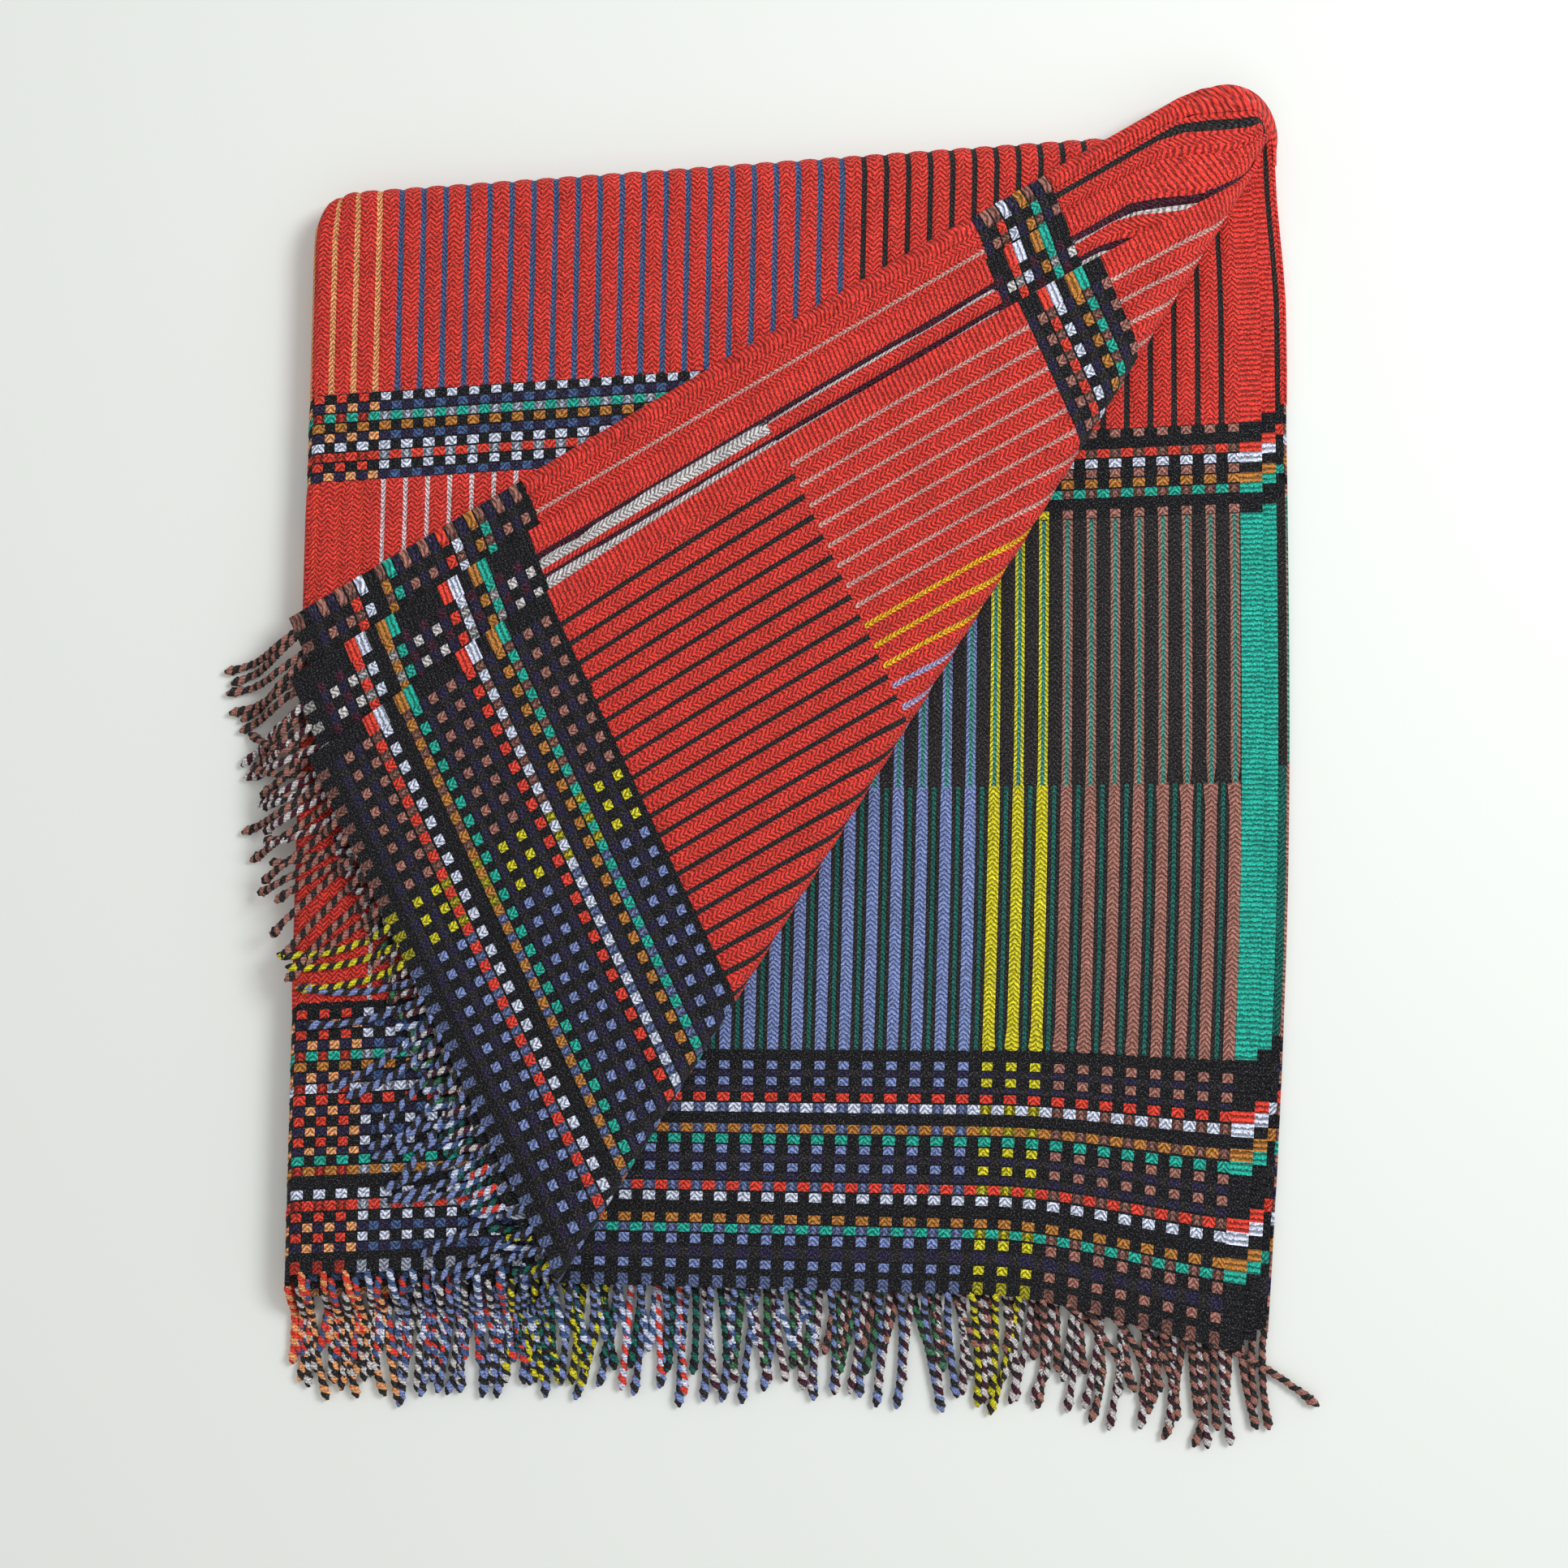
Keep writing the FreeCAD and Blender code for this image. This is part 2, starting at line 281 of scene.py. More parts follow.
def place(u, v, ply):
    """Folded place of flat places (u, v), in millimetres."""
    across, radius = lengthwise(u)
    centre = MIDDLE - v
    half_bend = math.pi / 2 * radius
    down = np.clip(np.abs(centre) - half_bend, 0, None)
    in_bend = np.abs(centre) < half_bend
    lower = lower_plan(across, down)
    plain = upper_plan(across, down)
    upper, upper_z = turn_back(plain, TOP_FOLD_Z + radius, radius, across, down, ply)
    is_lower = centre > 0
    plan = np.where(is_lower[:, None], lower, upper)
    z = np.where(is_lower, TOP_FOLD_Z - radius, upper_z)

    # the crosswise fold itself: a half roll left of the diagonal, a wide turn at its right
    angle = np.clip(centre / radius, -math.pi / 2, math.pi / 2)
    roll = lower + (radius * np.cos(angle))[:, None] * OVER
    t = 0.5 - angle / math.pi
    start, end = lower - DIAGONAL_TOP, upper - DIAGONAL_TOP
    reach = (1 - t) * np.hypot(*start.T) + t * np.hypot(*end.T)
    begin = math.atan2(TOP_WAY[1], TOP_WAY[0])
    finish = np.arctan2(end[:, 1], end[:, 0])
    finish = np.where(finish < begin, begin, finish)
    heading = begin + (finish - begin) * t
    wide = DIAGONAL_TOP + reach[:, None] * np.stack([np.cos(heading), np.sin(heading)], 1)
    fade = 1 - smooth(np.hypot(*start.T) / APEX_FADE)
    wide += (radius * np.cos(angle) * fade)[:, None] * OVER
    right = across > APEX_ACROSS
    plan = np.where(in_bend[:, None], np.where(right[:, None], wide, roll), plan)
    low_z, high_z = TOP_FOLD_Z - radius, np.where(right, upper_z, TOP_FOLD_Z + radius)
    bend_z = low_z + (high_z - low_z) * (1 - np.sin(angle)) / 2
    z = np.where(in_bend, bend_z, z)

    flat_down = np.where(in_bend, -radius * np.cos(angle), down)
    turned = (~is_lower) & ((plain - DIAGONAL_TOP) @ OUT_DIAGONAL > 0)
    rounded = corner_round(plan, across, flat_down)
    plan = np.where((turned | right)[:, None], plan, rounded)
    # a folded pack is never quite flat: long shallow waves, stronger towards the top
    wave = np.sin(plan[:, 0] / 41 + plan[:, 1] / 67) * np.sin(plan[:, 1] / 53 - 0.6)
    z = z + WAVE * wave * z / WAVE_FULL_AT
    return np.column_stack([plan, z])


probe = place(np.array([0.0, 0.0, 200.0]), np.array([0.0, WARP_LENGTH, WARP_LENGTH]), 1)
print("woven ends at", np.round(probe, 1).tolist())

# %% [markdown]
# ## The stripes and bands
# The cloth is a double weave: two sets of coloured warp, A and B, change places between its two
# faces, and every change of the weft colour makes another zone. So its pattern is a table of
# warp pairs across the cloth and a table of rows along it. The mesh gets its lines where the
# colours change, and each face takes the colour of the yarn that lies on top there.


# %% Yarn colours
def linear(text):
    """sRGB hex to linear colour."""
    parts = [int(text[i : i + 2], 16) / 255 for i in (1, 3, 5)]
    return np.array([c / 12.92 if c < 0.04045 else ((c + 0.055) / 1.055) ** 2.4 for c in parts])


YARN = {
    "red": "#DC3A30",
    "navy": "#262040",
    "ink": "#131318",
    "charcoal": "#272324",
    "pink brown": "#A56F63",
    "pale pink": "#D9A097",
    "yellow": "#D6CC22",
    "lilac": "#7C8DC4",
    "peach": "#EFA56C",
    "blue": "#435C8A",
    "white": "#D3DAF0",
    "grey white": "#D2CDCD",
    "gold": "#BC7B35",
    "teal": "#1FAD99",
    "core teal": "#3F8F80",
    "orange yellow": "#F0B41C",
    "pale lilac": "#A9A0C8",
    "pale rose": "#E2CDD2",
    "dark teal": "#14645A",
    "maroon": "#45182A",
    "green": "#3E7A55",
    "accent red": "#E3402F",
}
YARN = {name: linear(text) for name, text in YARN.items()}
print(len(YARN), "yarn colours")

# %% Warp pairs across the cloth: count, colour A, colour B
SELVEDGE = 8.0
# the pairs change a little before the right-hand fold
ZONE_EARLY = 0.6
PAIR_GROUPS = [
    (SELVEDGE, PASS_1, [
        (8, "charcoal", "pink brown"),
        (3, "charcoal", "yellow"),
        (24, "charcoal", "lilac"),
        (4, "charcoal", "peach"),
    ]),
    (PASS_1, PASS_4 - ZONE_EARLY, [
        (4, "peach", "accent red"),
        (21, "blue", "white"),
        (20, "charcoal", "pink brown"),
    ]),
    (PASS_4 - ZONE_EARLY, PASS_3, [
        (6, "charcoal", "pink brown"),
        (8, "grey white", "charcoal"),
        (9, "green", "charcoal"),
        (9, "dark teal", "ink"),
        (9, "accent red", "blue"),
    ]),
    (PASS_3, CLOTH_WIDTH - SELVEDGE, [
        (9, "grey white", "charcoal"),
        (5, "yellow", "charcoal"),
        (3, "accent red", "white"),
        (23, "maroon", "grey white"),
    ]),
]
pairs = []
for start, end, groups in PAIR_GROUPS:
    colours = [(a, b) for count, a, b in groups for _ in range(count)]
    pitch = (end - start) / len(colours)
    for i, (a, b) in enumerate(colours):
        pairs.append((start + pitch * i, pitch, a, b))
PAIR_START = np.array([p[0] for p in pairs])
PAIR_PITCH = np.array([p[1] for p in pairs])
PAIR_A = np.array([YARN[p[2]] for p in pairs])
PAIR_B = np.array([YARN[p[3]] for p in pairs])
FIRST_PASS_PAIRS = sum(count for count, _, _ in PAIR_GROUPS[0][2])
print(len(pairs), "warp pairs,", round(float(PAIR_PITCH[0]), 2), "mm apart")

# %% Rows along the cloth
# Each row is (height in mm, which warp shows, accent weft). "A" shows warp A and hides B, "B"
# the other way round, "D" shows the dark weft only.
END_BAND = [
    (4, "D", ""), (3.6, "B", ""), (2.3, "A", ""), (3.6, "B", ""), (2.2, "A", ""),
    (3.7, "B", "accent red"), (4.1, "A", "white"), (3.7, "D", ""), (3.8, "A", "gold"),
    (4, "B", "teal"), (3.5, "B", ""), (3.1, "A", ""), (3.6, "B", ""), (3.2, "A", ""),
    (4, "A", "accent red"), (4, "B", "white"), (4.1, "D", ""), (3.8, "B", "gold"),
    (3.7, "A", "teal"), (4.3, "B", ""), (5.1, "A", ""), (3.8, "B", ""), (2.4, "D", ""),
]
INNER_BAND = [
    (3.5, "B", ""), (3.5, "D", ""), (3.6, "A", "accent red"), (3.6, "B", "white"),
    (3.5, "B", ""), (3.6, "B", "gold"), (3.6, "A", "teal"), (3.5, "D", ""), (3.6, "B", ""),
]
UPPER_BAND = [
    (3.5, "B", ""), (3.5, "A", ""), (3.6, "A", "teal"), (3.6, "B", "gold"), (3.5, "A", ""),
    (3.6, "B", "white"), (3.6, "A", "accent red"), (3.5, "B", ""), (3.6, "A", ""),
]
UPPER_END_BAND = [
    (2.5, "D", ""), (3.5, "B", ""), (3.6, "A", ""), (3.6, "B", ""), (3.7, "A", ""),
    (3.7, "A", "teal"), (3.6, "B", "gold"), (4, "A", ""), (3.8, "A", "white"),
    (4, "B", "accent red"), (3.6, "A", ""), (3.6, "B", ""), (3.6, "A", ""), (3.6, "B", ""),
    (2.8, "A", ""), (3.6, "B", "teal"), (3.7, "A", "gold"), (4.2, "D", ""),
    (3.9, "B", "white"), (4.2, "A", "accent red"), (3.6, "B", ""), (3.6, "A", ""),
    (3.6, "B", ""), (3.6, "A", ""), (2.8, "D", ""),
]
rows = []


def add_rows(start, table, kind="band"):
    """Adds a band's rows above start, and returns where they end."""
    for height, shows, accent in table:
        rows.append((start, start + height, kind, shows, accent))
        start += height
    return start


def fitted(table, height):
    """The same rows, made to fill a height."""
    scale = height / sum(r[0] for r in table)
    return [(h * scale, shows, accent) for h, shows, accent in table]


HEM = 4.5
END_BAND_TOP = 88
TEAL_ZONE = 95
SECOND_ZONE = 78
RED_ZONE = 94.5
v = add_rows(0, [(HEM, "A", "")], "hem")
v = add_rows(v, fitted(END_BAND, END_BAND_TOP - HEM)[::-1])
v = add_rows(v, [(TEAL_ZONE, "wide B", "")], "teal")
v = add_rows(v, [(TEAL_ZONE, "wide A", "")], "teal")
v = add_rows(v, list(reversed(INNER_BAND)))
v = add_rows(v, [(MIDDLE - v, "first", "")], "red")
v = add_rows(v, [(SECOND_ZONE, "second", "")], "red")
v = add_rows(v, UPPER_BAND)
v = add_rows(v, [(RED_ZONE, "third", "")], "red")
v = add_rows(v, [(RED_ZONE, "fourth", "")], "red")
v = add_rows(v, fitted(UPPER_END_BAND, WARP_LENGTH - HEM - v))
v = add_rows(v, [(HEM, "A", "")], "hem")
ROW_END = np.array([r[1] for r in rows])
print(len(rows), "rows, warp length", round(v, 1), "mm")


# %% Which yarn lies on top at a flat place
# the dark share of a band's row at its lower and upper edge
GAP_SHARE = 0.13
# widths of the lines in the red zones, and of the darker core of a wide line
RED_LINE = 2.6
PALE_LINE = 2.2
BRIGHT_LINE = 2.5
CORE = 1.5
# the widths of the other lines, as shares of a pair
WIDE_B_SHARE = 0.45
WIDE_A_SHARE = 0.57
CHECK_SHARE = 0.42
ACCENT_SHARE = 0.50
# on the cloth's back: widths of the maroon and white lines, and how far the white one moves over
BACK_LINES = {"third": (2.2, 1.7, 2.4), "fourth": (2.2, 4.6, 0.9)}


def line_widths(row, pitch, colour_b, back=False):
    """Widths of warp A's and warp B's lines in a row."""
    kind, shows = row[2], row[3]
    if kind == "red":
        if back:
            return BACK_LINES.get(shows, BACK_LINES["third"])[:2]
        return RED_LINE, PALE_LINE if colour_b in ("pink brown", "white") else BRIGHT_LINE
    if kind == "teal":
        share = 1 - WIDE_B_SHARE if shows == "wide B" else WIDE_A_SHARE
        return pitch * share, pitch * (1 - share)
    share = ACCENT_SHARE if row[4] else CHECK_SHARE
    return pitch * share, pitch * share


def line_shift(row, back):
    """How far warp B's line lies from its usual place in a row."""
    if row[2] == "red" and back:
        return BACK_LINES.get(row[3], BACK_LINES["third"])[2]
    return 0.0


def red_zone_shows(shows, pair):
    """Which warp floats between the red ribs of a red zone: 'A' or 'B'."""
    in_first_pass = pair < FIRST_PASS_PAIRS
    if shows == "first":
        return "A"
    if shows == "third":
        return "B"
    return "B" if in_first_pass == (shows == "second") else "A"


# %% The colour and height of the yarn on top
# the middle of the right-hand lengthwise fold, where a red rib lies
OUTER_EDGE = (PASS_4 + RIGHT_FOLD) / 2
# the same yarns, seen sunk between bright red ribs
RED_ZONE_YARN = {
    "pink brown": YARN["pale pink"],
    "yellow": YARN["orange yellow"],
    "lilac": YARN["pale lilac"],
    "white": YARN["pale rose"],
}

# the rib's half width there, and the slack that puts a face on the edge of a line inside it
EDGE_RIB = 2.2
LINE_SLACK = 0.03
# heights of the yarns, as shares of the relief
RIB = 1.0
SUNK = -1.0
CORE_DIP = -0.6
BESIDE = -0.2
GAP = -0.3
ACCENT_FLOAT = 1.4
CHECK_A = 0.8
# how dark warp B looks where it only just shows
TOOTH = 0.75
TOOTH_EDGE = 0.3
HEM_TOOTH = 0.5


def yarn_on_top(u, v, back):
    """Colour and height of the cloth's face at one flat place."""
    row = rows[min(int(np.searchsorted(ROW_END, v, side="right")), len(rows) - 1)]
    low, high, kind, shows, accent = row
    weft = {"red": "red", "teal": "teal"}.get(kind, "ink")
    if u < SELVEDGE or u > CLOTH_WIDTH - SELVEDGE:
        return YARN[accent or weft], 0.0
    pair = min(max(int(np.searchsorted(PAIR_START, u, side="right")) - 1, 0), len(pairs) - 1)
    pitch = PAIR_PITCH[pair]
    x = u - PAIR_START[pair]
    from_b = x - pitch / 4 - line_shift(row, back)
    from_a = x - 3 * pitch / 4
    pair_a = pair
    if x < pitch / 4 and abs(x + pitch / 4) < abs(from_a):
        from_a, pair_a = x + pitch / 4, max(pair - 1, 0)
    wide_a, wide_b = line_widths(row, pitch, pairs[pair][3], back)
    on_a = abs(from_a) < wide_a / 2 + LINE_SLACK
    on_b = abs(from_b) < wide_b / 2 + LINE_SLACK
    if kind == "red":
        if back:
            if on_a:
                return PAIR_A[pair_a], SUNK
            return (PAIR_B[pair], 0.0) if on_b else (YARN["red"], RIB)
        face = red_zone_shows(shows, pair)
        if face == "A" and on_a:
            return PAIR_A[pair_a], SUNK
        if face == "B" and on_b and abs(u - OUTER_EDGE) > EDGE_RIB:
            return RED_ZONE_YARN.get(pairs[pair][3], PAIR_B[pair]), SUNK
        return YARN["red"], RIB
    if kind == "teal":
        if on_b:
            if shows == "wide A" and abs(from_b) < CORE / 2:
                return YARN["core teal"], CORE_DIP
            return PAIR_B[pair], RIB if shows == "wide B" else BESIDE
        if shows == "wide B" and abs(from_a) < CORE / 2:
            return YARN["dark teal"], CORE_DIP
        return PAIR_A[pair_a], RIB if shows == "wide A" else BESIDE
    dark = YARN["navy"] if shows == "A" else YARN["ink"]
    if kind == "band" and not GAP_SHARE < (v - low) / (high - low) < 1 - GAP_SHARE:
        return YARN["ink"], GAP
    if accent:
        if on_a if shows == "A" else on_b:
            return YARN[accent], ACCENT_FLOAT
        if shows == "A" and on_b:
            return PAIR_B[pair] * (TOOTH if abs(from_b) < CORE / 2 else TOOTH_EDGE), 0.0
        return dark, GAP
    if kind == "hem":
        return (PAIR_B[pair] * HEM_TOOTH, 0.0) if on_b else (YARN["ink"], 0.0)
    if shows == "B" and on_b:
        return PAIR_B[pair], RIB
    if shows == "A" and on_a:
        return PAIR_A[pair_a], CHECK_A
    return dark, 0.0


# %% Mesh lines across and along the cloth
def lines_across(start, end, row, fine, back):
    """Places across the cloth where a row's mesh has its lines."""
    lines = [start]
    first = start if start >= SELVEDGE else SELVEDGE
    if start < SELVEDGE:
        lines += [SELVEDGE / 3, SELVEDGE * 2 / 3, SELVEDGE]
    for pair_start, pitch, _, colour_b in pairs:
        if pair_start + pitch < first + 0.01 or pair_start > end - 0.01:
            continue
        wide_a, wide_b = line_widths(row, pitch, colour_b, back)
        b, a = pair_start + pitch / 4 + line_shift(row, back), pair_start + 3 * pitch / 4
        if fine[0] <= pair_start + pitch / 4 <= fine[1]:
            lines += [b - wide_b / 2, b - CORE / 2, b + CORE / 2, b + wide_b / 2]
            lines += [a - wide_a / 2, a - CORE / 2, a + CORE / 2, a + wide_a / 2]
        else:
            lines += [b - wide_b / 2, b + wide_b / 2, a - wide_a / 2, a + wide_a / 2]
    if end > CLOTH_WIDTH - SELVEDGE:
        lines += [end - SELVEDGE, end - SELVEDGE * 2 / 3, end - SELVEDGE / 3]
    lines.append(end)
    return np.clip(np.array(lines), start, end)


def lines_along(low, high, zone_step, gaps):
    """(v, row) for each mesh line along the cloth. gaps gives band rows their dark edges."""
    result = []
    for row in rows:
        start, end = max(row[0], low), min(row[1], high)
        if end - start < 0.01:
            continue
        if row[2] == "band":
            shares = (0, GAP_SHARE, 1 - GAP_SHARE, 1) if gaps else (0, 1)
        else:
            shares = np.linspace(0, 1, max(1, round((end - start) / zone_step)) + 1)
        for share in shares:
            if row[2] == "band":
                v = min(max(row[0] + (row[1] - row[0]) * share, start), end)
            else:
                v = start + (end - start) * share
            result.append((v, row))
    return result


# %% [markdown]
# ## The cloth material
# Lambswool, spun softly and woven in a twill: matt, with a bloom of loose fibre that catches the
# light at grazing angles. The yarn colour comes from the faces, and the nodes add what the mesh
# is too coarse for: slanting stitches nearly two millimetres long, with painted shade between them
# and a painted highlight on their tops, uneven dye, fuzz, pale specks of painted highlight where
# loose fibres catch the light, and relief.


# %% One helper for the nodes
def add(tree, kind, settings=None, links=None):
    """Adds a node with its settings, input values and links."""
    node = tree.nodes.new(kind)
    for name, value in (settings or {}).items():
        if isinstance(name, str) and hasattr(node, name):
            setattr(node, name, value)
        else:
            node.inputs[name].default_value = value
    for name, source in (links or {}).items():
        tree.links.new(source, node.inputs[name])
    return node


# %% [markdown]
# ## Stitches and fibres
# The stitches are as long as the real ones. The fibres aren't: a wool fibre is about 0.02 mm
# thick and would never show from the camera's distance. So tufts, and the specks of painted
# highlight where loose fibres catch the light, are drawn as coarse as they need to be to read as
# wool.

# %% Sizes of the wool's patterns, in millimetres
STITCH = 1.8
CORD_STITCH = 1.2
# half the width of a herringbone's chevron, and where the first one starts
HERRINGBONE = 2.15
HERRINGBONE_START = SELVEDGE + HERRINGBONE
# how far stitches stray from their line, and how deep they look
WOBBLE = 1.8
STITCH_DEPTH = 0.8
# how many of each there are to a millimetre of cloth
STRAYINGS = 0.7
TUFTS = 1.4
FIBRE_GLINTS = 1.9
DYE_PATCHES = 0.09


def scale_of(to_a_millimetre):
    """The scale that gives a noise texture so many features to a real millimetre."""
    return to_a_millimetre / MM


# %% Stitches
def border_mask(tree, across):
    """1 on the two woven borders, where the weft lies in plain ridges."""
    left = add(
        tree, "ShaderNodeMath", {"operation": "LESS_THAN", 1: SELVEDGE * MM}, {0: across}
    )
    right = add(
        tree, "ShaderNodeMath",
        {"operation": "GREATER_THAN", 1: (CLOTH_WIDTH - SELVEDGE) * MM}, {0: across},
    )
    both = add(
        tree, "ShaderNodeMath", {"operation": "ADD"}, {0: right.outputs[0], 1: left.outputs[0]}
    )
    return both.outputs[0]


def stitch_height(tree, flat, stitch):
    """Slanting stitches whose slant turns over at the middle of every rib, as a herringbone."""
    place_on = add(tree, "ShaderNodeSeparateXYZ", {}, {0: flat})
    inside = add(
        tree, "ShaderNodeMath", {"operation": "SUBTRACT", 0: 1.0},
        {1: border_mask(tree, place_on.outputs[0])},
    )
    shifted = add(
        tree, "ShaderNodeMath", {"operation": "SUBTRACT", 1: HERRINGBONE_START * MM},
        {0: place_on.outputs[0]},
    )
    slant = add(
        tree, "ShaderNodeMath", {"operation": "PINGPONG", 1: HERRINGBONE * MM},
        {0: shifted.outputs[0]},
    )
    slant = add(
        tree, "ShaderNodeMath", {"operation": "MULTIPLY"},
        {0: slant.outputs[0], 1: inside.outputs[0]},
    )
    uneven = add(
        tree, "ShaderNodeTexNoise", {"Scale": scale_of(STRAYINGS), "Detail": 2.0},
        {"Vector": flat},
    )
    uneven = add(
        tree, "ShaderNodeMath", {"operation": "MULTIPLY_ADD", 1: WOBBLE * MM},
        {0: uneven.outputs["Fac"], 2: slant.outputs[0]},
    )
    stitched = add(
        tree, "ShaderNodeMath", {"operation": "ADD"},
        {0: place_on.outputs[1], 1: uneven.outputs[0]},
    )
    turns = add(
        tree, "ShaderNodeMath", {"operation": "MULTIPLY", 1: 2 * math.pi / (stitch * MM)},
        {0: stitched.outputs[0]},
    )
    sine = add(tree, "ShaderNodeMath", {"operation": "SINE"}, {0: turns.outputs[0]})
    height = add(
        tree, "ShaderNodeMapRange",
        {"interpolation_type": "SMOOTHSTEP", "From Min": -1.0, "From Max": 0.35},
        {"Value": sine.outputs[0]},
    )
    return height.outputs[0]


# %% Lambswool
def lambswool(name, stitch, stitch_shade):
    """Woollen yarn in the mesh's yarn_colour. The third argument is how dark the painted shade
    between stitches is.
    """
    material = bpy.data.materials.new(name)
    material.use_nodes = True
    tree = material.node_tree
    tree.nodes.clear()
    colour = add(tree, "ShaderNodeAttribute", {"attribute_name": "yarn_colour"})
    flat = add(tree, "ShaderNodeUVMap", {"uv_map": "flat_cloth"}).outputs[0]
    stitches = stitch_height(tree, flat, stitch)
    fuzz = add(
        tree, "ShaderNodeTexNoise", {"Scale": scale_of(TUFTS), "Detail": 3.0, "Roughness": 0.65},
        {"Vector": flat},
    )
    dye = add(
        tree, "ShaderNodeTexNoise", {"Scale": scale_of(DYE_PATCHES), "Detail": 2.0},
        {"Vector": flat},
    )
    # painted shade between the stitches and a painted highlight on their tops, as a brightness that
    # follows the stitch height
    stitch_shade_and_highlight = add(
        tree, "ShaderNodeMapRange", {"To Min": 1 - stitch_shade, "To Max": 1.12},
        {"Value": stitches},
    )
    fuzz_light = add(
        tree, "ShaderNodeMapRange",
        {"From Min": 0.32, "From Max": 0.68, "To Min": 0.35, "To Max": 1.6},
        {"Value": fuzz.outputs["Fac"]},
    )
    dye_light = add(
        tree, "ShaderNodeMapRange",
        {"From Min": 0.3, "From Max": 0.7, "To Min": 0.88, "To Max": 1.1},
        {"Value": dye.outputs["Fac"]},
    )
    # the brightness: the stitches' painted shade and highlight, times the random tone of the fuzz
    # and the dye
    light = add(
        tree, "ShaderNodeMath", {"operation": "MULTIPLY"},
        {0: stitch_shade_and_highlight.outputs[0], 1: fuzz_light.outputs[0]},
    )
    light = add(
        tree, "ShaderNodeMath", {"operation": "MULTIPLY"},
        {0: light.outputs[0], 1: dye_light.outputs[0]},
    )
    shaded = add(
        tree, "ShaderNodeVectorMath", {"operation": "SCALE"},
        {0: colour.outputs["Color"], "Scale": light.outputs[0]},
    )
    # painted highlight: pale specks where loose fibres catch the light, which show up most on the
    # dark yarns
    fibre_glint = add(
        tree, "ShaderNodeTexNoise", {"Scale": scale_of(FIBRE_GLINTS), "Detail": 2.0},
        {"Vector": flat},
    )
    fibre_glint = add(
        tree, "ShaderNodeMapRange", {"From Min": 0.54, "From Max": 0.72, "To Max": 0.11},
        {"Value": fibre_glint.outputs["Fac"]},
    )
    shaded = add(
        tree, "ShaderNodeVectorMath", {"operation": "ADD"},
        {0: shaded.outputs[0], 1: fibre_glint.outputs[0]},
    )
    height = add(
        tree, "ShaderNodeMath", {"operation": "MULTIPLY_ADD", 1: 0.6},
        {0: fuzz.outputs["Fac"], 2: stitches},
    )
    bump = add(
        tree, "ShaderNodeBump", {"Strength": 0.75, "Distance": STITCH_DEPTH * MM},
        {"Height": height.outputs[0]},
    )
    rough = add(
        tree, "ShaderNodeMapRange", {"To Min": 0.82, "To Max": 0.98},
        {"Value": fuzz.outputs["Fac"]},
    )
    wool = add(
        tree, "ShaderNodeBsdfPrincipled",
        {"IOR": 1.54, "Specular IOR Level": 0.15, "Sheen Weight": 0.04, "Sheen Roughness": 0.45},
        {"Base Color": shaded.outputs[0], "Roughness": rough.outputs[0], "Normal": bump.outputs[0]},
    )
    add(tree, "ShaderNodeOutputMaterial", {}, {"Surface": wool.outputs[0]})
    return material


# deep painted shade between the cloth's stitches, and little between the cords' stitches
woven_wool = lambswool("woven_lambswool", stitch=STITCH, stitch_shade=0.62)
fringe_wool = lambswool("twisted_lambswool_yarn", stitch=CORD_STITCH, stitch_shade=0.2)
print("materials:", woven_wool.name, fringe_wool.name)


# %% [markdown]
# ## Cloth pieces
# A piece starts as a flat grid in the cloth's own coordinates. It is laid out in plan, trimmed
# along the diagonal where the corner turns back, folded, given the relief of its ribs and
# squares, and then thickened with Solidify.

# %% From a flat grid to its outline
HIDDEN = (-1, -1)
EVERYWHERE = (0, CLOTH_WIDTH)
# lines nearer together than this are made one
MERGE = 0.012


def flat_grid(name, across, along, fine, zone_step, gaps, back):
    """Quads over a stretch of flat cloth, in millimetres, with lines where the yarn changes."""
    table = lines_along(*along, zone_step, gaps)
    grid = [lines_across(*across, row, fine, back) for _, row in table]
    count = len(grid[0])
    u = np.concatenate(grid)
    v = np.repeat([t[0] for t in table], count)
    # every row has the same number of lines, so quads join neighbouring rows throughout
    index = np.arange(len(u)).reshape(len(table), count)
    quads = np.stack([index[:-1, :-1], index[1:, :-1], index[1:, 1:], index[:-1, 1:]], -1)
    mesh = bpy.data.meshes.new(name)
    mesh.from_pydata(np.column_stack([u, v, 0 * u]).tolist(), [], quads.reshape(-1, 4).tolist())
    return mesh


def keep_flat_places(bm):
    """Writes the flat places into a UV map, in metres."""
    layer = bm.loops.layers.uv.new("flat_cloth")
    for face in bm.faces:
        for loop in face.loops:
            loop[layer].uv = (loop.vert.co.x * MM, loop.vert.co.y * MM)
    return layer


def trim_past_diagonal(bm, trim):
    """Lays the cloth out in plan and cuts it parallel to the diagonal at two distances."""
    co = np.array([vert.co for vert in bm.verts])
    side, radius = lengthwise(co[:, 0])
    down = np.clip(co[:, 1] - MIDDLE - math.pi / 2 * radius, 0, None)
    plan = upper_plan(side, down)
    for vert, p in zip(bm.verts, plan):
        vert.co = (p[0], p[1], 0)
    normal = Vector((*OUT_DIAGONAL, 0))
    for distance, clear in zip(trim, ("inner", "outer")):
        if distance is None:
            continue
        cut = Vector((*(DIAGONAL_TOP + distance * OUT_DIAGONAL), 0))
        bmesh.ops.bisect_plane(
            bm, geom=bm.verts[:] + bm.edges[:] + bm.faces[:], dist=1e-4,
            plane_co=cut, plane_no=normal,
            clear_inner=clear == "inner", clear_outer=clear == "outer",
        )


